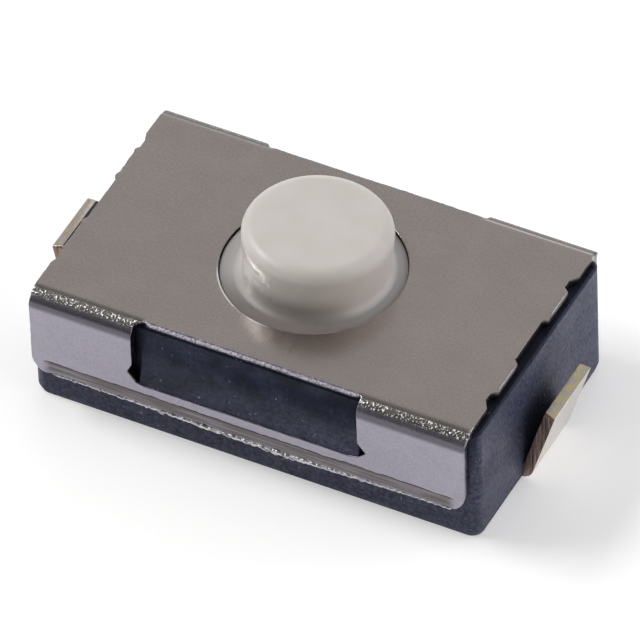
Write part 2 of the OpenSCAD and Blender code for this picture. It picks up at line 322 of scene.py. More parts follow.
@dataclass(frozen=True)
class RolledStainless(Finish):
    """Cold-rolled stainless strip, sheared and folded.

    The rolling leaves hair lines along the strip. The outer face of each bend stretches into
    coarse grains, with painted glints beside painted shade. Painted shade darkens the bend a
    little above the grains, more below them, and the whole bend on the back, and it darkens
    edges that slant upwards low on the skirts. The skirts' tone is partly the steel's own and
    partly a painted reflection, and painted highlights lie on the front of the hole's rim and
    along the skirts' feet. The pressed band along the lower edge is scored at its top, and
    painted shade darkens the band and the scored line.
    """

    name: str = "cold_rolled_stainless_steel"
    plate: str = "#A9A09C"
    # Partly the steel's own tone and partly a painted reflection.
    skirt: str = "#9B97A3"
    # Painted shade on the pressed band.
    pressed: str = "#625C5C"
    # Painted shade and painted glints of the bends' grains; the glint colour is also the painted
    # highlight on the hole's rim and the skirts' feet.
    grain_shade: str = "#5A5754"
    glint: str = "#FFFFFF"
    # Painted shade in the pressed band's scored line.
    scored: str = "#1F1C1D"
    spot: str = "#5A5455"
    roughness: float = 0.24
    coarse: float = 0.22

    def build(self) -> bpy.types.Material:
        """Builds the steel.

        Returns:
            The material.
        """
        # The peel's grains are 0.03 mm across: as coarse as the orange peel of this bend.
        material, add, coords, at = self.start(
            hair=(per_mm(0.30, 0.016), 2.0),
            cloud=(per_mm(0.50, 0.36), 4.0),
            dust=(per_mm(0.030), 0.0),
            peel=(per_mm(0.028), 1.0),
            smear=(per_mm(0.70, 0.05, 0.035), 2.0),
        )
        x, y = (add(MATH, UNSIGNED, {0: axis}) for axis in (at.x, at.y))
        # The marks of the bends start lower on the right legs.
        late = add(RANGE, EVEN, {"Value": at.x, **steps(-1.5, 1.5, 0.0, 0.020 * MM, MM)})
        y_bend = add(MATH, MINUS, {0: y, 1: late})
        z_bend = add(MATH, TIMES_PLUS, {0: late, 1: 0.7, 2: at.z})
        masks = (
            # Where the sheet is bent, beside the windows, and where its grains start and end.
            ("legs", SMOOTH, x, 1.42, 1.47, 0, 1),
            ("edge", SMOOTH, y_bend, 1.612, 1.655, 0, 1),
            ("start", SMOOTH, y_bend, 1.670, 1.695, 0, 1),
            ("end", SMOOTH, z_bend, 1.712, 1.742, 0, 1),
            ("front", EVEN, at.y, -1, 1, 1.0, 0.15),
            # Painted shade darkens the bend a little above the grains and more below them, and
            # the whole bend on the back.
            ("above", EVEN, z_bend, 1.74, 1.775, 0, 0.37),
            ("rise", SMOOTH, z_bend, 1.545, 1.615, 0, 0.60),
            ("fall", SMOOTH, z_bend, 1.655, 1.715, 1, 0),
            ("behind", EVEN, at.y, 1.62, 1.66, 0, 0.80),
            ("curved", SMOOTH, at.z, 1.60, 1.68, 0, 1),
            # The skirts and the plate's lips over the windows and at the ends.
            ("upright", SMOOTH, at.z, 1.70, 1.785, 1, 0),
            ("lip", EVEN, y, 1.655, 1.660, 0, 1),
            ("tail", EVEN, x, 2.838, 2.842, 0, 1),
            ("flat", EVEN, y, 1.58, 1.60, 1, 0),
            ("low", EVEN, at.z, 1.712, 1.724, 0.85, 0),
            ("high", EVEN, at.z, 1.68, 1.69, 0, 1),
            # Where painted shade falls on edges that slant upwards low on the skirts.
            ("under", EVEN, at.z, 1.35, 1.45, 1, 0),
            # Where painted highlights show on the hole's rim.
            ("nearer", SMOOTH, at.y, -0.55, -0.25, 1, 0),
            # Painted highlight along the torn edges of the skirts' feet.
            ("torn_foot", EVEN, at.z, 0.505, 0.530, 0.38, 0),
        )
        for name, way, source, *numbers in masks:
            setattr(at, name, add(RANGE, way, {"Value": source, **steps(*numbers, MM)}))
        fold = add(MATH, TIMES, {0: at.legs, 1: at.edge})
        stretched = at.start
        for part in (at.end, at.legs, at.front):
            stretched = add(MATH, TIMES, {0: stretched, 1: part})
        below = add(MATH, TIMES, {0: at.rise, 1: at.fall})
        behind = add(MATH, TIMES, {0: at.behind, 1: at.curved})
        shaded = add(MATH, PLUS, {0: at.above, 1: below})
        shaded = add(MATH, MOST, {0: shaded, 1: behind})
        shaded = add(MATH, TIMES, {0: fold, 1: shaded})
        # The lower half of each sheared edge of the plate is torn, dark and rough, and painted
        # shade darkens edges that slant upwards low on the skirts.
        inner = add(MATH, MINUS, {0: 1.0, 1: at.legs})
        lip = add(MATH, TIMES, {0: at.lip, 1: inner})
        tail = add(MATH, TIMES, {0: at.tail, 1: at.flat})
        upright = add(MATH, MOST, {0: at.upright, 1: lip})
        torn_and_shaded = add(MATH, PLUS, {0: lip, 1: tail})
        for part in (at.low, at.high):
            torn_and_shaded = add(MATH, TIMES, {0: torn_and_shaded, 1: part})
        level = add("ShaderNodeNewGeometry").outputs["True Normal"]
        level = add(AXES, {}, {0: level}).outputs[2]
        upend = add(RANGE, EVEN, {"Value": level, **steps(0.75, 0.95, 0.55, 0.0)})
        ledge_shade = add(RANGE, EVEN, {"Value": level, **steps(0.3, 0.6, 0.0, 0.6)})
        for more, where in ((tail, upend), (ledge_shade, at.under)):
            more = add(MATH, TIMES, {0: more, 1: where})
            torn_and_shaded = add(MATH, MOST, {0: torn_and_shaded, 1: more})
        whole = add(MATH, MINUS, {0: 1.0, 1: torn_and_shaded})
        # Tones of the plate and the skirts, with specks on the lip over each window. The skirts'
        # tone is partly the steel's own and partly a painted reflection.
        inputs = {0: upright, 6: linear(self.plate), 7: linear(self.skirt)}
        tone = add(MIX, COLOURS, inputs)
        speckle = add(RANGE, EVEN, {"Value": at.peel, **steps(0.3, 0.7, 0.55, -0.75)})
        for part in (lip, at.curved):
            speckle = add(MATH, TIMES, {0: speckle, 1: part})
        shaded = add(MATH, PLUS, {0: shaded, 1: speckle})
        unshaded = add(MATH, MINUS, {0: 1.0, 1: shaded})
        shade = add(RANGE, EVEN, {"Value": at.cloud, **steps(0.25, 0.75, 0.975, 1.025)})
        lines = add(RANGE, EVEN, {"Value": at.hair, **steps(0.2, 0.8, 0.965, 1.035)})
        grit = add(RANGE, EVEN, {"Value": at.dust, **steps(0.2, 0.8, 0.93, 1.07)})
        for part in (lines, grit, unshaded, whole):
            shade = add(MATH, TIMES, {0: shade, 1: part})
        tone = add(VECTOR, SCALED, {0: tone, "Scale": shade})
        # Painted highlights here and there on the front of the hole's rim.
        centre = tuple(-c * MM for c in (*HOLE_CENTRE, PLATE_TOP))
        rim = add(VECTOR, LENGTH, {0: add(VECTOR, PLUS, {0: coords, 1: centre})})
        bare, plain = HOLE_RADIUS + 0.015, HOLE_RADIUS + 0.029
        rim = add(RANGE, EVEN, {"Value": rim, **steps(bare, plain, 1.0, 0.0, MM)})
        broken = add(RANGE, SMOOTH, {"Value": at.cloud, **steps(0.45, 0.55, 0.15, 0.9)})
        for part in (broken, at.nearer):
            rim = add(MATH, TIMES, {0: rim, 1: part})
        # Painted glints beside painted shade on the bends' grains.
        bright = add(RANGE, SMOOTH, {"Value": at.peel, **steps(0.52, 0.72)})
        inputs = {0: bright, 6: linear(self.grain_shade), 7: linear(self.glint)}
        grain_glints_and_shade = add(MIX, COLOURS, inputs)
        # Painted shade on the pressed band, broken into lighter patches that are a painted
        # reflection, and in the scored line at its top.
        line, dull = (
            add("ShaderNodeAttribute", {"attribute_name": name}).outputs["Fac"]
            for name in ("scored", "pressed")
        )
        patchy = add(RANGE, SMOOTH, {"Value": at.smear, **steps(0.42, 0.68, 1.0, 0.55)})
        dull = add(MATH, TIMES, {0: dull, 1: patchy})
        spots = add(RANGE, SMOOTH, {"Value": at.dust, **steps(0.78, 0.84, 0.0, 0.35)})
        for share, colour in (
            (rim, linear(self.glint)),
            (stretched, grain_glints_and_shade),
            (dull, linear(self.pressed)),
            (line, linear(self.scored)),
            (at.torn_foot, linear(self.glint)),
            (spots, linear(self.spot)),
        ):
            tone = add(MIX, COLOURS, {0: share, 6: tone, 7: colour})
        peaks = add(MATH, MINUS, {0: at.peel, 1: 0.5})
        for part in (stretched, 6.0):
            peaks = add(MATH, TIMES, {0: peaks, 1: part})
        height = add(MATH, TIMES, {0: at.hair, 1: 0.08})
        height = add(MATH, PLUS, {0: height, 1: peaks})
        smooth, dim = self.roughness - 0.01, self.roughness + 0.02
        rough = add(RANGE, EVEN, {"Value": at.cloud, **steps(0.25, 0.75, smooth, dim)})
        coarse = add(MATH, MOST, {0: stretched, 1: torn_and_shaded})
        rough = add(MATH, TIMES_PLUS, {0: coarse, 1: self.coarse, 2: rough})
        self.surface(add, tone, rough, height, 0.0015, Metallic=1.0)
        return material


@dataclass(frozen=True)
class MouldedBlackPlastic(Finish):
    """Glass-filled liquid crystal polymer, moulded black.

    Flow leaves a cloudy bluish bloom. A painted pale bluish sheen lies on the end walls, along
    the foot and on the latch blocks, and painted shade darkens the top under the cover. The
    glass shows as tiny bright specks, and the skin is finely pitted.
    """

    name: str = "moulded_black_polymer"
    body: str = "#0E1118"
    bloom: str = "#232736"
    # A painted pale bluish sheen.
    sheen: str = "#4A4C5F"
    gloss: str = "#A6ACD8"
    glass: str = "#A9AEBB"
    roughness: float = 0.46

    def build(self) -> bpy.types.Material:
        """Builds the black plastic.

        Returns:
            The material.
        """
        material, add, _, at = self.start(
            cloud=(per_mm(0.45, 0.45, 0.30), 4.0),
            fleck=(per_mm(0.036), 0.0),
            pore=(per_mm(0.075), 0.0),
            skin=(per_mm(0.05), 3.0),
        )
        x = add(MATH, UNSIGNED, {0: at.x})
        masks = (
            # Painted pale sheen on the end walls, the foot and the latch blocks, more towards
            # the right and the back; none under the cover.
            ("wall", SMOOTH, x, 2.95, 2.99, 0, 1),
            ("foot", SMOOTH, at.z, 0.45, 0.62, 0.8, 0),
            ("block", SMOOTH, at.z, 0.88, 1.62, 1, 0),
            ("rightward", EVEN, at.x, -1.4, 1.4, 0.15, 1),
            ("rearward", EVEN, at.y, -1.4, 1.2, 0.80, 1),
            ("open_air", SMOOTH, at.z, 1.655, 1.695, 1, 0),
        )
        for name, way, source, *numbers in masks:
            setattr(at, name, add(RANGE, way, {"Value": source, **steps(*numbers, MM)}))
        bloom = add(RANGE, SMOOTH, {"Value": at.cloud, **steps(0.36, 0.66)})
        sheen_patches = add(RANGE, EVEN, {"Value": at.skin, **steps(0.30, 0.70, 0.35, 1.05)})
        sheen_share = add(MATH, MOST, {0: at.wall, 1: at.foot})
        block = add(MATH, TIMES, {0: at.block, 1: at.rightward})
        sheen_share = add(MATH, MOST, {0: sheen_share, 1: block})
        for part in (at.open_air, sheen_patches, at.rearward):
            sheen_share = add(MATH, TIMES, {0: sheen_share, 1: part})
        inputs = {0: bloom, 6: linear(self.body), 7: linear(self.bloom)}
        tone = add(MIX, COLOURS, inputs)
        tone = add(MIX, COLOURS, {0: sheen_share, 6: tone, 7: linear(self.sheen)})
        mottle_and_shade = add(RANGE, EVEN, {"Value": at.skin, **steps(0.3, 0.7, 0.75, 1.3)})
        # Painted shade darkens the top under the cover.
        cover_shade = add(RANGE, EVEN, {"Value": at.open_air, **steps(0.0, 1.0, 0.3, 1.0)})
        mottle_and_shade = add(MATH, TIMES, {0: mottle_and_shade, 1: cover_shade})
        tone = add(VECTOR, SCALED, {0: tone, "Scale": mottle_and_shade})
        specks = add(RANGE, SMOOTH, {"Value": at.fleck, **steps(0.79, 0.86, 0.0, 0.7)})
        specks = add(MATH, TIMES, {0: specks, 1: bloom})
        tone = add(MIX, COLOURS, {0: specks, 6: tone, 7: linear(self.glass)})
        pits = add(RANGE, SMOOTH, {"Value": at.pore, **steps(0.74, 0.80, 0.0, -3.0)})
        height = add(MATH, PLUS, {0: at.skin, 1: pits})
        dim, smooth = self.roughness + 0.08, self.roughness - 0.06
        rough = add(RANGE, EVEN, {"Value": at.cloud, **steps(0.3, 0.7, dim, smooth)})
        gloss = linear(self.gloss)
        self.surface(add, tone, rough, height, 0.005, IOR=1.40, Specular_Tint=gloss)
        return material


@dataclass(frozen=True)
class MouldedOffWhite(Finish):
    """Heat-proof nylon, moulded off-white.

    The moulding is slightly waxy: faint clouds and light that bleeds at edges. The left of the
    side is polished glossy, the rest is matt. Painted shade greys the ring that slides in the
    cover's hole and browns the foot in front, and a paler patch low on the left of the side is
    a painted highlight.
    """

    name: str = "moulded_off_white_nylon"
    body: str = "#C9C4BF"
    cloudy: str = "#C5BFB9"
    # Painted shade of the ring, painted shade of the foot in front, and a painted highlight.
    shaded: str = "#8E8C8C"
    foot_shade: str = "#61564F"
    buffed: str = "#F6EFEB"
    roughness: float = 0.13
    matt: float = 0.46
    highlight_at: Point3 = (-0.60, -0.70, 2.13)

    def build(self) -> bpy.types.Material:
        """Builds the button's plastic.

        Returns:
            The material.
        """
        # The waves are the uneven side, as the mould left it: the light on it breaks up.
        material, add, coords, at = self.start(
            cloud=(per_mm(0.5), 4.0),
            skin=(per_mm(0.035), 2.0),
            waves=(per_mm(0.13), 2.0),
        )
        # Painted shade on the ring and on the foot in front.
        masks = (
            ("ring", SMOOTH, at.z, 1.72, 1.86, 1, 0),
            ("grease", SMOOTH, at.y, -0.95, -0.35, 0.8, 0),
            ("foot", SMOOTH, at.z, 1.80, 2.15, 1, 0),
            ("side", SMOOTH, at.z, 2.26, 2.42, 1, 0),
            ("clear", SMOOTH, at.z, 1.84, 1.96, 0, 1),
            ("left", SMOOTH, at.x, -0.45, 0.15, 1, 0),
        )
        for name, way, source, *numbers in masks:
            setattr(at, name, add(RANGE, way, {"Value": source, **steps(*numbers, MM)}))
        # Painted shade on the foot in front.
        grease = add(MATH, TIMES, {0: at.grease, 1: at.foot})
        side = at.side
        for part in (at.clear, at.left):
            side = add(MATH, TIMES, {0: side, 1: part})
        # A paler patch low on the left of the side, with a broken outline: a painted highlight.
        centre = tuple(-c * MM for c in self.highlight_at)
        buffed = add(VECTOR, LENGTH, {0: add(VECTOR, PLUS, {0: coords, 1: centre})})
        inputs = {"Value": at.waves, **steps(0.3, 0.7, -0.08 * MM, 0.08 * MM)}
        buffed = add(MATH, PLUS, {0: buffed, 1: add(RANGE, EVEN, inputs)})
        buffed = add(RANGE, SMOOTH, {"Value": buffed, **steps(0.08, 0.34, 0.6, 0.0, MM)})
        cloudy = add(RANGE, SMOOTH, {"Value": at.cloud, **steps(0.3, 0.7)})
        tone = linear(self.body)
        for share, colour in (
            (cloudy, self.cloudy),
            (at.ring, self.shaded),
            (grease, self.foot_shade),
            (buffed, self.buffed),
        ):
            tone = add(MIX, COLOURS, {0: share, 6: tone, 7: linear(colour)})
        waves = at.waves
        for part in (side, 6.0):
            waves = add(MATH, TIMES, {0: waves, 1: part})
        height = add(MATH, PLUS, {0: at.skin, 1: waves})
        inputs = {"Value": side, **steps(0.0, 0.8, self.matt, self.roughness)}
        rough = add(RANGE, EVEN, inputs)
        wax = {
            "Subsurface_Weight": 0.25,
            "Subsurface_Radius": (1.0, 0.75, 0.55),
            "Subsurface_Scale": 0.10 * MM,
        }
        self.surface(add, tone, rough, height, 0.0012, IOR=1.62, **wax)
        return material


@dataclass(frozen=True)
class PlatedBrass(Finish):
    """Brass strip with a thin silver plate, sheared after plating.

    The faces keep the bright plate. The sheared upper end is golden brass with smears of silver,
    and the side edges are darker brown with drag lines down them.
    """

    name: str = "silver_plated_brass"
    plate: str = "#DAD6CF"
    brass: str = "#D0BE94"
    smear: str = "#BDB8AF"
    dark_brown: str = "#8C786F"
    roughness: float = 0.30

    def build(self) -> bpy.types.Material:
        """Builds the terminals' metal.

        Returns:
            The material.
        """
        material, add, _, at = self.start(
            patches=(per_mm(0.07, 0.11, 0.07), 3.0),
            drag=(per_mm(0.03, 0.03, 0.5), 2.0),
            chips=(per_mm(0.035), 2.0),
        )
        facing = add("ShaderNodeNewGeometry").outputs["Normal"]
        facing = add(AXES, {}, {0: facing})
        sideways = add(MATH, UNSIGNED, {0: facing.outputs[1]})
        end = add(RANGE, SMOOTH, {"Value": facing.outputs[2], **steps(0.55, 0.80)})
        high = add(RANGE, EVEN, {"Value": at.z, **steps(0.98, 1.0, unit=MM)})
        end = add(MATH, TIMES, {0: end, 1: high})
        side = add(RANGE, SMOOTH, {"Value": sideways, **steps(0.55, 0.80)})
        # The left terminal keeps more of its silver, and it is dimmer.
        left = add(RANGE, EVEN, {"Value": at.x, **steps(-1.0, 1.0, 0.10, 0.0, MM)})
        patches = add(MATH, PLUS, {0: at.patches, 1: left})
        smeared = add(RANGE, SMOOTH, {"Value": patches, **steps(0.42, 0.58)})
        dim = add(MATH, TIMES, {0: left, 1: 3.0})
        golden = linear(self.brass)
        for share, colour in ((smeared, self.smear), (dim, self.dark_brown)):
            golden = add(MIX, COLOURS, {0: share, 6: golden, 7: linear(colour)})
        brown = add(RANGE, EVEN, {"Value": at.drag, **steps(0.25, 0.75, 0.4, 1.6)})
        brown = add(VECTOR, SCALED, {0: linear(self.dark_brown)[:3], "Scale": brown})
        tone = linear(self.plate)
        for share, colour in ((side, brown), (end, golden)):
            tone = add(MIX, COLOURS, {0: share, 6: tone, 7: colour})
        height = add(MATH, PLUS, {0: at.drag, 1: at.chips})
        smooth, dull = self.roughness, self.roughness + 0.1
        rough = add(RANGE, EVEN, {"Value": patches, **steps(0.3, 0.7, smooth, dull)})
        self.surface(add, tone, rough, height, 0.005, Metallic=1.0)
        return material


@dataclass(frozen=True)
class SpringSteel(Finish):
    """Hardened stainless spring strip, rolled bright: smooth, with faint hair lines."""

    name: str = "spring_stainless_steel"
    body: str = "#B9B7B6"
    lines: str = "#A3A1A2"
    roughness: float = 0.22

    def build(self) -> bpy.types.Material:
        """Builds the snap dome's steel.

        Returns:
            The material.
        """
        material, add, _, at = self.start(hair=(per_mm(0.8, 0.02), 3.0))
        inputs = {0: at.hair, 6: linear(self.body), 7: linear(self.lines)}
        tone = add(MIX, COLOURS, inputs)
        self.surface(add, tone, self.roughness, at.hair, 0.001, 0.5, Metallic=1.0)
        return material


@dataclass(frozen=True)
class WindowSide:
    """One side of a skirt's window: distances from the middle, and the notch at its foot."""

    reach: float
    tip: float
    tip_height: float
    corner: float


@dataclass
class FoldedCover:
    """The steel cover, folded from one sheared blank.

    The press worked unevenly: the two sides of a window differ, and the right ends of the
    skirts stand a little in. Sizes are of the outer face.
    """

    steel: bpy.types.Material
    half_length: float = 2.92
    top: float = PLATE_TOP
    thickness: float = 0.10
    skirt_face: float = 1.84
    bend_radius: float = 0.24
    skirt_foot: float = 0.50
    foot_radius: float = 0.27
    hole_radius: float = HOLE_RADIUS
    hole_centre: Point = HOLE_CENTRE
    window_half: float = 1.495
    window_left: WindowSide = WindowSide(1.545, 1.610, 0.156, 0.090)
    window_right: WindowSide = WindowSide(1.475, 1.582, 0.123, 0.045)
    window_edge: float = 1.673
    window_low: float = 0.88
    notch_slant: float = 0.13
    notch_run: float = 0.22
    front_leg_in: float = 0.022
    back_leg_in: float = 0.055
    front_right_foot_radius: float = 0.33
    sag: float = 0.035
    sag_middle: float = 0.4
    sag_reach: float = 1.2
    recess_half: float = 0.42
    recess_in: float = 0.065
    lug_width: float = 0.52
    lug_notch: float = 0.30
    lug_notch_in: float = 0.075
    left_depth: float = 0.55
    slope: float = 0.06
    band_top: float = 0.75
    band_in: float = 0.05
    band_step: float = 0.012
    band_full: float = 2.65
    band_end: float = 2.78
    rollover: float = 0.014
    burr_side: float = 0.006
    edge_rollover: float = 0.032
    tongue_blend: float = 0.13
    shear_step: float = 0.045
    ragged: tuple[Point, Point] = ((0.0035, 0.11), (0.004, 0.6))
    drift: tuple[Point, Point] = ((0.014, 0.30), (0.010, 0.07))
    drift_reach: float = 0.07
    groove: float = 0.014
    hole_points: int = 160
    bend_cuts: int = 16
    end_cuts: int = 120
    skirt_cuts: tuple[float, ...] = (
        *(1.3, 1.1, 0.95, 0.82, 0.78, 0.762, 0.75),
        *(0.743, 0.733, 0.718, 0.70, 0.66, 0.60, 0.56),
    )

    @property
    def flat_half(self) -> float:
        """Half width of the flat plate, up to where the bends start."""
        return self.skirt_face - self.bend_radius

    @property
    def arc(self) -> float:
        """Length of a bend along its outer face."""
        return self.bend_radius * math.pi / 2

    def unrolled(self, z: float) -> float:
        """Place on the blank of a height on the skirt's outer face.

        Args:
            z: height on the upright part.

        Returns:
            Distance from the blank's centre line.
        """
        return self.flat_half + self.arc + (self.top - self.bend_radius - z)

    def quarter(self, foot_radius: float, leg_in: float, depth: float = 1.0) -> Loop:
        """Outline of the blank's back right quarter, counterclockwise.

        Args:
            foot_radius: radius of the skirt's lower corner.
            leg_in: how far the skirt's end stands in from the plate's end.
            depth: share of their depth that the recess and the notch have.

        Returns:
            The points from the middle of the end to the skirt's foot.
        """
        end, half, r = self.half_length, self.recess_half, foot_radius
        lug = half + self.lug_width
        notch = lug + self.lug_notch
        foot = self.unrolled(self.skirt_foot)
        recess, nick = end - depth * self.recess_in, end - depth * self.lug_notch_in
        points: Loop = [
            (recess, 0.0),
            (recess, half - self.slope),
            (end, half),
            (end, lug),
            (nick, lug + self.slope),
            (nick, notch - 2 * self.slope),
            (end, notch),
            (end, self.flat_half + self.arc / 3),
        ]
        end -= leg_in
        points.append((end, self.flat_half + self.arc))
        corner = [turned(r, a) for a in range(0, 91, 10)]
        return points + [(end - r + x, foot - r + v) for x, v in corner]

    def outer_edge(self) -> Loop:
        """Outline of the blank, counterclockwise.

        Returns:
            The points of the closed outline.
        """
        left = self.quarter(self.foot_radius, 0.0, self.left_depth)
        right_back = self.quarter(self.foot_radius, self.back_leg_in)
        right_front = self.quarter(self.front_right_foot_radius, self.front_leg_in)
        return (
            right_back
            + [(-x, v) for x, v in reversed(left)]
            + [(-x, -v) for x, v in left[1:]]
            + [(x, -v) for x, v in reversed(right_front[1:])]
        )

    def window(self, side: int) -> Loop:
        """Outline of one skirt's window on the blank.

        Args:
            side: 1 for the back skirt, -1 for the front one.

        Returns:
            The points of the closed outline.
        """
        bend = math.asin((self.window_edge - self.flat_half) / self.bend_radius)
        head = self.flat_half + self.bend_radius * bend
        low = self.window_low
        loop: Loop = []
        for way, edge in ((1, self.window_right), (-1, self.window_left)):
            tip_z, r = low + edge.tip_height, edge.corner
            half: Loop = [
                (edge.tip - self.notch_run, self.unrolled(low)),
                (edge.tip - self.notch_run / 2, self.unrolled(low + 0.02)),
                (edge.tip - 0.02, self.unrolled(tip_z - 0.03)),
                (edge.tip, self.unrolled(tip_z)),
                (edge.reach, self.unrolled(tip_z + self.notch_slant)),
            ]
            corner = [turned(r, a) for a in range(0, 91, 15)]
            half += [(edge.reach - r + x, head + r - v) for x, v in corner]
            loop += [(way * x, side * v) for x, v in half][::way]
        return loop

    def hole(self) -> Loop:
        """Outline of the round hole, clockwise.

        Returns:
            The points of the closed outline.
        """
        r, (x, y) = self.hole_radius, self.hole_centre
        angles = [-math.tau * k / self.hole_points for k in range(self.hole_points)]
        return [(x + r * math.cos(a), y + r * math.sin(a)) for a in angles]

    def shear(self, loop: Loop, seed: float, solid_left: bool) -> Loop:
        """Splits long edges and roughens them as a shear does.

        Args:
            loop: closed outline.
            seed: tells one outline from another.
            solid_left: True where the outline must run with the steel on its left.

        Returns:
            The finer outline.
        """
        area = sum(a[0] * b[1] - b[0] * a[1] for a, b in zip(loop, loop[1:] + loop[:1]))
        if (area > 0) != solid_left:
            loop = list(reversed(loop))
        fine: Loop = []
        run = 0.0
        (small, short), (large, long) = self.ragged
        for a, b in zip(loop, loop[1:] + loop[:1]):
            length = math.dist(a, b)
            parts = max(1, round(length / self.shear_step))
            dx, dy = b[0] - a[0], b[1] - a[1]
            for k in range(parts):
                t = k / parts
                spot = run + length * t
                off = small * wobble(spot, short, seed) + large * wobble(spot, long, seed + 3)
                off = max(off, -0.002) / length if k else 0.0
                fine.append((a[0] + dx * t - dy * off, a[1] + dy * t + dx * off))
            run += length
        return fine

    @staticmethod
    def inset(loop: Loop, distances: list[float]) -> Loop:
        """Moves an outline into the steel on its left.

        Args:
            loop: closed outline.
            distances: how far each point moves.

        Returns:
            The moved outline, point for point.
        """
        moved: Loop = []
        count = len(loop)
        for i, point in enumerate(loop):
            before, after = loop[i - 1], loop[(i + 1) % count]
            a = Vector((point[0] - before[0], point[1] - before[1])).normalized()
            b = Vector((after[0] - point[0], after[1] - point[1])).normalized()
            n1, n2 = Vector((-a.y, a.x)), Vector((-b.y, b.x))
            step = (n1 + n2) / max(0.4, 1 + n1.dot(n2)) * distances[i]
            moved.append((point[0] + step.x, point[1] + step.y))
        return moved

    def roll(self, point: Point) -> float:
        """Size of the rounding on the outer side of the sheared edge.

        Args:
            point: place on the blank's outline.

        Returns:
            The rounding: wide on the skirts' feet and the lugs, none to speak of in the
            recesses, and fine elsewhere.
        """
        x, v = abs(point[0]), abs(point[1])
        foot = min(1.0, max(0.0, (v - self.unrolled(self.skirt_foot) + 0.20) / 0.10))
        lug = self.recess_half + self.slope < v < self.recess_half + self.lug_width
        end = self.half_length - 0.02
        uneven = 1.0 + 0.5 * wobble(point[0] + 3 * point[1], 0.07, 4.0)
        if v < self.flat_half and x > end - 1.2 * self.lug_notch_in:
            return (1.3 * self.edge_rollover if lug and x > end else 0.006) * uneven
        return (self.rollover + (self.edge_rollover - self.rollover) * foot) * uneven

    def fade(self, x: float) -> float:
        """Share of the pressed band's depth that is left near the skirt's ends."""
        return eased((self.band_end - abs(x)) / (self.band_end - self.band_full))

    def band_depth(self, x: float, z: float) -> float:
        """How far the pressed band moves the sheet inwards.

        Args:
            x: place along the skirt.
            z: height on the skirt.

        Returns:
            The depth.
        """
        line = self.band_top
        if z >= line:
            return 0.0
        share = (line - z) / (line - self.skirt_foot)
        step = self.band_step * min(1.0, (line - z) / 0.008)
        groove = self.groove * max(0.0, 1.0 - abs(line - 0.008 - z) / 0.010)
        return self.fade(x) * (step + groove + (self.band_in - self.band_step) * share)

    def tongue(self, x: float) -> float:
        """Share of the bend that the sheet follows at x.

        Args:
            x: place along the cover.

        Returns:
            0 in the flat tongue over a window, 1 beside the window.
        """
        beside = abs(x) - self.window_half + self.tongue_blend
        return eased(beside / (self.tongue_blend - 0.01))

    def fold(self, point: Vector) -> Vector:
        """Folds a point of the blank.

        Args:
            point: X, distance from the centre line, and depth below the outer face as minus Z.

        Returns:
            The place in the frame, in millimetres.
        """
        x, v, depth = point.x, abs(point.y), -point.z
        side = 1.0 if point.y >= 0 else -1.0
        run = v - self.flat_half
        radius = self.bend_radius - depth
        if run <= 0:
            return Vector((x, point.y, self.top - depth))
        if run < self.arc:
            angle = run / self.bend_radius
            y = self.flat_half + radius * math.sin(angle)
            z = self.top - self.bend_radius + radius * math.cos(angle)
            share = self.tongue(x)
            y, z = y * share + v * (1 - share), z * share + (self.top - depth) * (1 - share)
            return Vector((x, side * y, z))
        z = self.top - self.bend_radius - (run - self.arc)
        line = self.band_top
        near = max(0.0, 1.0 - abs(z - line) / self.drift_reach)
        (far, long), (small, short) = self.drift
        drift = far * wobble(x, long, side + 11) + small * wobble(x, short, side + 5)
        lifted = z + near * drift
        y = self.skirt_face - depth - self.band_depth(x, z)
        # The middle of each strip sags at its foot.
        hang = min(1.0, max(0.0, (self.window_low - z) / (self.window_low - self.skirt_foot)))
        lifted -= self.sag * hang * math.exp(-(((x - self.sag_middle) / self.sag_reach) ** 2))
        return Vector((x, side * y, lifted))

    def build(self) -> bpy.types.Object:
        """Builds the folded sheet, with its rims and bends, in place of the CAD node.

        Returns:
            The cover.
        """
        loops = [
            self.shear(self.outer_edge(), 1.0, True),
            self.hole(),
            self.shear(self.window(1), 2.0, False),
            self.shear(self.window(-1), 3.0, False),
        ]
        t, low = self.thickness, self.burr_side
        # Each ring: inset and depth as shares of the rounding, then inset and depth added.
        profile = [
            (1.0, 0.0, 0.0, 0.0),
            (0.617, 0.076, 0.0, 0.0),
            (0.293, 0.293, 0.0, 0.0),
            (0.076, 0.617, 0.0, 0.0),
            (0.0, 1.0, 0.0, 0.0),
            (0.0, 0.0, 0.0, t - low),
            (0.0, 0.0, low, t),
        ]
        bm = bmesh.new()
        faces_edges: dict[int, list[bmesh.types.BMEdge]] = {0: [], len(profile) - 1: []}
        for loop in loops:
            rings = []
            rolls = [self.roll(point) for point in loop]
            for inward, sunk, more_in, more_down in profile:
                moved = self.inset(loop, [inward * r + more_in for r in rolls])
                depths = [-(sunk * r + more_down) for r in rolls]
                rings.append([bm.verts.new((*spot, z)) for spot, z in zip(moved, depths)])
            for upper, lower in zip(rings, rings[1:]):
                for k in range(len(loop)):
                    n = (k + 1) % len(loop)
                    bm.faces.new((upper[k], lower[k], lower[n], upper[n]))
            for level in faces_edges:
                ring = rings[level]
                for k in range(len(loop)):
                    edge = bm.edges.get((ring[k], ring[(k + 1) % len(loop)]))
                    faces_edges[level].append(edge)
        for edges in faces_edges.values():
            bmesh.ops.triangle_fill(bm, use_beauty=True, use_dissolve=False, edges=edges)
        bmesh.ops.recalc_face_normals(bm, faces=bm.faces)
        self.cut_lines(bm)
        # Shares of painted shade in the scored line and on the pressed band, for the steel.
        scored = bm.verts.layers.float.new("scored")
        pressed = bm.verts.layers.float.new("pressed")
        for vert in bm.verts:
            vert[scored], vert[pressed] = self.band_shading(vert.co)
            vert.co = self.fold(vert.co)
        cover = mesh_piece("folded_cover", bm, self.steel, 50.0)
        weigh_normals(cover)
        place(cover, Body.HOUSING, ("cover",))
        return cover

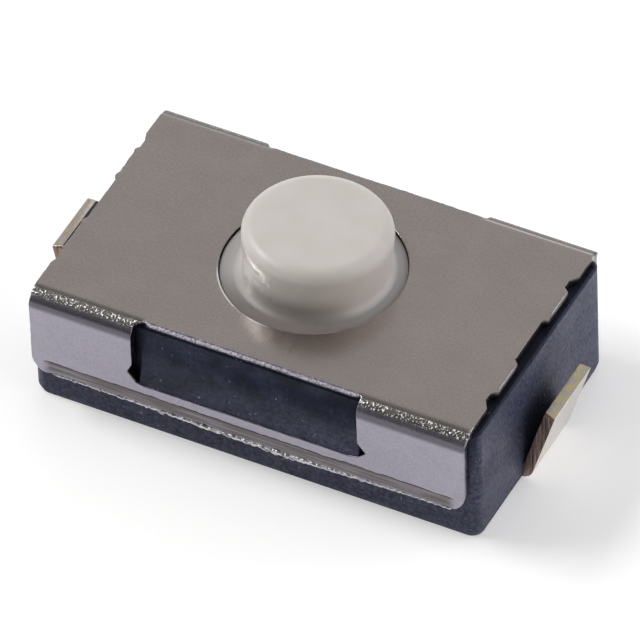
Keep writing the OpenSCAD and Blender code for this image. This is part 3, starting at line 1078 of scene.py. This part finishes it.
    def band_shading(self, point: Vector) -> tuple[float, float]:
        """Shares of painted shade at a point of the blank, in the scored line and on the pressed
        band.

        Args:
            point: place on the blank.

        Returns:
            The share of painted shade in the scored line, and the share on the pressed band.
        """
        below = abs(point.y) - self.unrolled(self.band_top)
        scored = min(1.0, 2.2 * max(0.0, 1.0 - abs(below - 0.010) / 0.020))
        pressed = min(1.0, max(0.0, below / 0.01))
        foot = (self.band_top - self.skirt_foot - below) / 0.07
        pressed *= min(1.0, max(0.25, foot))
        fade = self.fade(point.x)
        return scored * fade, pressed * fade

    def foot_lines(self) -> list[list[Vector]]:
        """Lower edges of the two folded skirts, from end to end.

        Returns:
            One row of points for each skirt.
        """
        v = self.unrolled(self.skirt_foot) - 0.006
        reach = self.half_length - self.foot_radius
        xs = [-reach + 2 * reach * k / 120 for k in range(121)]
        return [[self.fold(Vector((x, side * v, -0.008))) for x in xs] for side in (-1, 1)]

    def cut_lines(self, bm: bmesh.types.BMesh) -> None:
        """Cuts the blank along every line that bends or moves later.

        Args:
            bm: the flat blank, in millimetres.
        """
        bends = range(self.bend_cuts + 1)
        lines = [self.flat_half + self.arc * k / self.bend_cuts for k in bends]
        lines += [self.unrolled(z) for z in self.skirt_cuts]
        for v in [side * line for line in lines for side in (1, -1)]:
            cut(bm, (0, v, 0), (0, 1, 0))
        for k in range(1, self.end_cuts):
            x = -self.half_length + 2 * self.half_length * k / self.end_cuts
            cut(bm, (x, 0, 0), (1, 0, 0))


@dataclass
class EdgeBurrs:
    """Beads of torn metal along the sheared feet of the skirts."""

    steel: bpy.types.Material
    lines: list[list[Vector]]
    spacing: float = 0.022
    bead: float = 0.027
    seed: int = 7

    def tree(self) -> bpy.types.NodeTree:
        """Builds the tree that sets beads along a line.

        Returns:
            The Geometry Nodes tree.
        """
        group = bpy.data.node_groups.new("burr_beads", "GeometryNodeTree")
        for name, way, kind in (
            ("Lines", "INPUT", "Geometry"),
            ("Spacing", "INPUT", "Float"),
            ("Bead Radius", "INPUT", "Float"),
            ("Seed", "INPUT", "Int"),
            ("Metal", "INPUT", "Material"),
            ("Beads", "OUTPUT", "Geometry"),
        ):
            group.interface.new_socket(name, in_out=way, socket_type=f"NodeSocket{kind}")
        add = partial(add_node, group)
        given = add("NodeGroupInput").outputs
        curve = add("GeometryNodeMeshToCurve", {}, {"Mesh": given["Lines"]})
        inputs = {"Curve": curve, "Length": given["Spacing"]}
        row = add("GeometryNodeResampleCurve", {"mode": "LENGTH"}, inputs)
        inputs = {"Radius": given["Bead Radius"], "Subdivisions": 2}
        ball = add("GeometryNodeMeshIcoSphere", {}, inputs)
        size, turn = (
            add(
                "FunctionNodeRandomValue",
                {"data_type": "FLOAT_VECTOR"},
                {0: low, 1: high, "Seed": given["Seed"]},
            )
            for low, high in (
                ((0.6, 0.35, 0.35), (2.2, 0.95, 0.95)),
                ((-0.5, -0.5, -0.35), (0.5, 0.5, 0.35)),
            )
        )
        # The burr is heaviest in the middle of the strip.
        spot = add(AXES, {}, {0: add("GeometryNodeInputPosition")})
        away = add(MATH, UNSIGNED, {0: spot.outputs[0]})
        heavy = add(RANGE, EVEN, {"Value": away, **steps(0.6, 2.2, 1.5, 0.75, MM)})
        size = add(VECTOR, SCALED, {0: size, "Scale": heavy})
        inputs = {"Points": row, "Instance": ball, "Rotation": turn, "Scale": size}
        beads = add("GeometryNodeInstanceOnPoints", {}, inputs)
        real = add("GeometryNodeRealizeInstances", {}, {"Geometry": beads})
        smooth = add("GeometryNodeSetShadeSmooth", {}, {"Geometry": real})
        inputs = {"Geometry": smooth, "Material": given["Metal"]}
        add("NodeGroupOutput", {}, {"Beads": add("GeometryNodeSetMaterial", {}, inputs)})
        return group

    def build(self) -> bpy.types.Object:
        """Sets the beads and turns them to a plain mesh.

        Returns:
            The beads of both skirts.
        """
        mesh = bpy.data.meshes.new("skirt_burrs")
        points = [tuple(p * MM) for line in self.lines for p in line]
        edges, start = [], 0
        for line in self.lines:
            edges += [(start + k, start + k + 1) for k in range(len(line) - 1)]
            start += len(line)
        mesh.from_pydata(points, edges, [])
        burrs = bpy.data.objects.new("skirt_burrs", mesh)
        bpy.context.scene.collection.objects.link(burrs)
        sizes = {"Spacing": self.spacing * MM, "Bead Radius": self.bead * MM}
        bake_nodes(burrs, self.tree(), {**sizes, "Seed": self.seed, "Metal": self.steel})
        place(burrs, Body.HOUSING)
        return burrs


def bake_nodes(
    piece: bpy.types.Object, group: bpy.types.NodeTree, values: dict[str, object]
) -> None:
    """Runs a Geometry Nodes tree on a piece and keeps the result as its mesh.

    Args:
        piece: the object that carries the tree's input geometry.
        group: the tree.
        values: the tree's inputs by name.
    """
    modifier = piece.modifiers.new(group.name, "NODES")
    modifier.node_group = group
    for item in group.interface.items_tree:
        if item.in_out == "INPUT" and item.name in values:
            modifier[item.identifier] = values[item.name]
    depsgraph = bpy.context.evaluated_depsgraph_get()
    evaluated = piece.evaluated_get(depsgraph)
    result = bpy.data.meshes.new_from_object(evaluated, depsgraph=depsgraph)
    piece.modifiers.clear()
    result.name = piece.name
    piece.data = result


@dataclass
class PushButton:
    """The moulded button: round head, hollow foot, collar, flange and stub."""

    plastic: bpy.types.Material
    head_radius: float = 0.905
    lip: float = 0.018
    top: float = 2.52
    edge_radius: float = 0.17
    foot_radius: float = 0.14
    foot_turn: float = 70.0
    ring_slope: float = 4.0
    collar_radius: float = 1.132
    collar_top: float = 1.762
    flange_radius: float = 1.34
    flange_top: float = 1.69
    flange_low: float = 1.43
    stub_radius: float = 0.45
    stub_low: float = 0.92
    round_edge: float = 0.015
    lean: float = 2.3
    lean_way: float = 28.6
    slack: Point = (0.006, 0.059)
    ring_slack: Point = (-0.028, 0.032)
    ring_from: float = 0.93
    ring_blend: float = 0.12
    foot_parts: int = 12
    around: int = 144

    def section(self) -> Loop:
        """Half section from the stub's centre round to the top's centre.

        Returns:
            Radius and height of each point.
        """
        e = self.round_edge
        points: Loop = [
            (0.0, self.stub_low),
            (self.stub_radius - e, self.stub_low),
            (self.stub_radius, self.stub_low + e),
            (self.stub_radius, self.flange_low),
            (self.flange_radius - e, self.flange_low),
            (self.flange_radius, self.flange_low + e),
            (self.flange_radius, self.flange_top - e),
            (self.flange_radius - e, self.flange_top),
            (self.collar_radius, self.flange_top),
        ]
        # The hollow foot is a small arc that runs out into a shallow cone.
        centre_r = self.head_radius + self.foot_radius
        last = math.radians(self.foot_turn)
        ring_in = centre_r - self.foot_radius * math.cos(last)
        ring_rise = (self.collar_radius - ring_in) * math.tan(math.radians(self.ring_slope))
        centre_z = self.collar_top + ring_rise + self.foot_radius * math.sin(last)
        points.append((self.collar_radius, self.collar_top))
        for k in range(self.foot_parts + 1):
            out, up = turned(self.foot_radius, self.foot_turn * (1 - k / self.foot_parts))
            points.append((centre_r - out, centre_z - up))
        # The side widens a little towards the lip, and the lip is rounded.
        side_top = self.top - self.edge_radius
        for k in range(1, 8):
            z = centre_z + (side_top - centre_z) * k / 8
            points.append((self.head_radius + self.lip * (k / 8) ** 1.5, z))
        rim = self.head_radius + self.lip - self.edge_radius
        lip = [turned(self.edge_radius, a) for a in range(0, 91, 9)]
        points += [(rim + out, side_top + up) for out, up in lip]
        points += [(rim * k / 8, self.top) for k in range(7, -1, -1)]
        return points

    def leaned(self, point: Vector) -> Vector:
        """Leans the head in the play of the cover's hole, as the photographed one stands.

        Args:
            point: a point of the upright button.

        Returns:
            The point's place, unmoved below the cover.
        """
        way = Vector(turned(1.0, self.lean_way))
        rise = point.z - self.flange_top
        if rise <= 0:
            return point
        slope = math.tan(math.radians(self.lean))
        grown = min(1.0, rise / 0.5)
        along = point.xy.dot(way)
        ring = min(1.0, max(0.0, (point.xy.length - self.ring_from) / self.ring_blend))
        moved = Vector(self.slack).lerp(Vector(self.ring_slack), ring) * min(1.0, rise / 0.03)
        moved += way * slope * max(0.0, rise - 0.06)
        return Vector((*(point.xy + moved), point.z - slope * along * grown * (1.0 - ring)))

    def build(self) -> bpy.types.Object:
        """Turns the section round its axis.

        Returns:
            The button.
        """
        bm = bmesh.new()
        rings: list[list[bmesh.types.BMVert]] = []
        for radius, z in self.section():
            count = self.around if radius > 1e-9 else 1
            circle = [turned(radius, 360.0 * k / self.around) for k in range(count)]
            rings.append([bm.verts.new((*spot, z)) for spot in circle])
        for rows in zip(rings, rings[1:]):
            for k in range(self.around):
                low, high = ([row[i % len(row)] for i in (k, k + 1)] for row in rows)
                bm.faces.new(list(dict.fromkeys(low + high[::-1])))
        for vert in bm.verts:
            vert.co = self.leaned(vert.co)
        bmesh.ops.recalc_face_normals(bm, faces=bm.faces)
        button = mesh_piece("moulded_button", bm, self.plastic, 40.0)
        weigh_normals(button)
        place(button, Body.BUTTON, ("button",))
        return button


@dataclass
class DressedNode:
    """A CAD node's own shape with its edges broken, as moulding and shearing leave them."""

    node: str
    name: str
    material: bpy.types.Material
    slot: Slot
    edge: float

    def fit(self, bm: bmesh.types.BMesh) -> None:
        """Changes of shape before the edges are rounded: none on a plain node."""

    def build(self) -> bpy.types.Object:
        """Copies the node, joins its faces and rounds its edges.

        Returns:
            The piece.
        """
        bm = bmesh.new()
        bm.from_mesh(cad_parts[self.node].data)
        bmesh.ops.scale(bm, vec=(1 / MM,) * 3, verts=bm.verts)
        bmesh.ops.remove_doubles(bm, verts=bm.verts, dist=2e-4)
        flat = math.radians(0.5)
        bmesh.ops.dissolve_limit(bm, angle_limit=flat, verts=bm.verts, edges=bm.edges)
        self.fit(bm)
        piece = mesh_piece(self.name, bm, self.material, 40.0)
        bevel = piece.modifiers.new("broken edges", "BEVEL")
        bevel.width = self.edge * MM
        bevel.segments = 2
        bevel.limit_method = "ANGLE"
        bevel.angle_limit = math.radians(35)
        bevel.use_clamp_overlap = True
        bevel.harden_normals = False
        weigh_normals(piece)
        place(piece, Body.HOUSING, (self.node,))
        return piece


@dataclass
class MouldedBase(DressedNode):
    """The black base, as the photographed one left its mould.

    Each latch block stands on the cover's strip, one end of it reaches behind the cover's leg,
    and the top of the left end wall leans in under the cover.
    """

    block_end: float = 1.42
    block_reach: float = 1.485
    block_slant: float = 0.035
    block_low: float = 0.884
    block_face: float = 1.826
    wall: float = 1.68
    end_wall: float = 3.0
    lean_from: float = 1.25
    lean_top: float = 1.70
    lean_in: float = 0.10

    def fit(self, bm: bmesh.types.BMesh) -> None:
        """Sets the latch blocks' ends and the left wall's lean.

        Args:
            bm: the base, in millimetres.
        """
        cut(bm, (0, 0, self.lean_from), (0, 0, 1))
        for vert in bm.verts:
            spot = vert.co
            # The latch blocks are all that stands out from the long walls so high up.
            if abs(spot.y) > self.wall + 0.02 and spot.z > 0.8:
                way = -1.0 if spot.y > 0 else 1.0
                if spot.z < self.block_low + 0.05:
                    spot.z = self.block_low
                    spot.y = math.copysign(self.block_face, spot.y)
                if abs(way * spot.x + self.block_end) < 0.01 and spot.z < 1.2:
                    spot.x -= way * self.block_slant
            for side in (1, -1):
                outside = -side * spot.y > self.wall - 0.001
                if outside and abs(side * spot.x - self.block_end) < 0.01:
                    spot.x = side * self.block_reach
            if spot.x < -self.end_wall + 0.15 and spot.z > self.lean_from:
                rise = (spot.z - self.lean_from) / (self.lean_top - self.lean_from)
                spot.x += self.lean_in * rise


@dataclass
class LeftTerminal(DressedNode):
    """The left terminal. Its sheared end leans in and is narrower than the right one's."""

    top: float = 1.17
    lean_in: float = 0.06
    moved_back: float = 0.03
    narrowed: float = 0.05

    def fit(self, bm: bmesh.types.BMesh) -> None:
        """Leans and narrows the sheared end.

        Args:
            bm: the terminal, in millimetres.
        """
        for vert in bm.verts:
            if vert.co.z > self.top - 0.05:
                vert.co.x += self.lean_in
                vert.co.y += self.moved_back
                if vert.co.y < 0:
                    vert.co.y += self.narrowed


@dataclass
class SnapDome(DressedNode):
    """The spring dome."""

    rim: float = 0.50
    pressed_share: float = 0.36

    def build(self) -> bpy.types.Object:
        """Builds the dome and gives it a mesh of its own.

        Returns:
            The dome.
        """
        dome = super().build()
        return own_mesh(dome)


@dataclass
class StudioCamera:
    """Long lens at the photograph's angle. Angles in degrees, lengths in millimetres."""

    azimuth: float = 28.57
    elevation: float = 44.29
    roll: float = 2.31
    distance: float = 150.4
    right: float = 0.0398
    up: float = 0.6747
    lens: float = 700.6

    def build(self) -> None:
        """Makes the scene's camera."""
        roll = math.radians(self.roll)
        back = toward(self.azimuth, self.elevation)
        up = toward(self.azimuth, self.elevation + 90.0)
        right = up.cross(back)
        x_axis = math.cos(roll) * right - math.sin(roll) * up
        y_axis = math.sin(roll) * right + math.cos(roll) * up
        data = bpy.data.cameras.new("studio_camera")
        data.lens = self.lens
        data.clip_start, data.clip_end = 0.005, 20.0
        camera = bpy.data.objects.new("studio_camera", data)
        spot = (self.right * right + self.up * up + self.distance * back) * MM
        turn = Matrix((x_axis, y_axis, back)).transposed().to_4x4()
        camera.matrix_world = Matrix.Translation(spot) @ turn
        bpy.context.scene.collection.objects.link(camera)
        bpy.context.scene.camera = camera
        LOG.info("camera: azimuth %.1f, elevation %.1f", self.azimuth, self.elevation)


@dataclass
class Softbox:
    """An oblong area lamp that looks at the object. Lengths in millimetres."""

    name: str
    azimuth: float
    elevation: float
    distance: float
    width: float
    height: float
    watts: float
    colour: str = "#FFFFFF"

    def build(self) -> None:
        """Makes the lamp."""
        away = toward(self.azimuth, self.elevation)
        data = bpy.data.lights.new(self.name, "AREA")
        data.shape = "RECTANGLE"
        data.size = self.width * MM
        data.size_y = self.height * MM
        data.energy = self.watts
        data.color = linear(self.colour)[:3]
        lamp = bpy.data.objects.new(self.name, data)
        lamp.location = away * self.distance * MM + Vector((0, 0, 1.0 * MM))
        lamp.rotation_mode = "QUATERNION"
        lamp.rotation_quaternion = away.to_track_quat("Z", "Y")
        bpy.context.scene.collection.objects.link(lamp)


@dataclass
class Studio:
    """Pale floor, soft lamps and a dim room."""

    floor_radius: float = 400.0
    floor_white: str = "#E8E8E8"
    floor_glow: float = 0.30
    room: float = 0.72
    dim: float = 0.20
    bright_way: Point3 = (0.42, 0.91, 0.0)

    def floor(self) -> None:
        """Makes the floor. Camera, glossy and transmission rays see it lifted to white."""
        bm = bmesh.new()
        bmesh.ops.create_circle(bm, cap_ends=True, segments=64, radius=self.floor_radius)
        for vert in bm.verts:
            vert.co.z = -0.002
        for face in bm.faces:
            if face.normal.z < 0:
                face.normal_flip()
        material = bpy.data.materials.new("white_card")
        material.use_nodes = True
        material.node_tree.nodes.clear()
        add = partial(add_node, material.node_tree)
        matt = add("ShaderNodeBsdfDiffuse", {}, {"Color": linear(self.floor_white)})
        rays = add("ShaderNodeLightPath").outputs
        seen = rays["Is Camera Ray"]
        for ray in ("Is Glossy Ray", "Is Transmission Ray"):
            seen = add(MATH, MOST, {0: seen, 1: rays[ray]})
        strength = add(MATH, TIMES, {0: seen, 1: self.floor_glow})
        glow = add("ShaderNodeEmission", {}, {"Strength": strength})
        both = add("ShaderNodeAddShader", {}, {0: matt, 1: glow})
        add("ShaderNodeOutputMaterial", {}, {"Surface": both})
        mesh_piece("floor", bm, material, 30.0)

    def world(self) -> None:
        """Makes the room: light above and behind, dim in front and a little to the left."""
        world = bpy.data.worlds.new("room")
        bpy.context.scene.world = world
        world.use_nodes = True
        world.node_tree.nodes.clear()
        add = partial(add_node, world.node_tree)
        direction = add("ShaderNodeTexCoord").outputs["Generated"]
        depth = add(VECTOR, {"operation": "DOT_PRODUCT"}, {0: direction, 1: self.bright_way})
        rear = add(RANGE, SMOOTH, {"Value": depth, **steps(-0.30, 0.42, self.dim, self.room)})
        back = add("ShaderNodeBackground", {}, {"Strength": rear})
        add("ShaderNodeOutputWorld", {}, {"Surface": back})

    def build(self) -> None:
        """Makes the whole studio."""
        self.floor()
        self.world()
        lamps = [
            Softbox("overhead_softbox", 200.0, 84.0, 160.0, 36.0, 36.0, 0.006),
            Softbox("left_softbox", -79.0, 44.5, 160.0, 84.0, 42.0, 0.158),
            Softbox("low_left_softbox", -72.0, 17.0, 180.0, 110.0, 80.0, 0.060),
            Softbox("rear_softbox", 205.0, 14.0, 180.0, 90.0, 90.0, 0.030),
            Softbox("right_softbox", 128.0, 20.0, 180.0, 90.0, 90.0, 0.070, "#E6EAFF"),
            Softbox("fill_softbox", 90.0, 24.0, 180.0, 120.0, 120.0, 0.085, "#FFF6EE"),
        ]
        for lamp in lamps:
            lamp.build()
        scene = bpy.context.scene
        scene.view_settings.view_transform = "Standard"
        LOG.info("studio: floor, room and %d softboxes", len(lamps))


def main() -> None:
    """Builds the studio and every piece of the switch, in order."""
    StudioCamera().build()
    Studio().build()
    steel = RolledStainless().build()
    black = MouldedBlackPlastic().build()
    white = MouldedOffWhite().build()
    brass = PlatedBrass().build()
    spring = SpringSteel().build()
    cover = FoldedCover(steel)
    cover.build()
    EdgeBurrs(steel, cover.foot_lines()).build()
    PushButton(white).build()
    MouldedBase("base", "moulded_base", black, Slot.BASE, 0.012).build()
    LeftTerminal("terminal_left", "plated_terminal_left", brass, Slot.TERMINAL, 0.010).build()
    DressedNode("terminal_right", "plated_terminal_right", brass, Slot.TERMINAL, 0.010).build()
    SnapDome("snap_dome", "pressed_snap_dome", spring, Slot.DOME, 0.004).build()


if __name__ == "__main__":
    logging.basicConfig(level=logging.INFO, format="%(message)s")
    main()
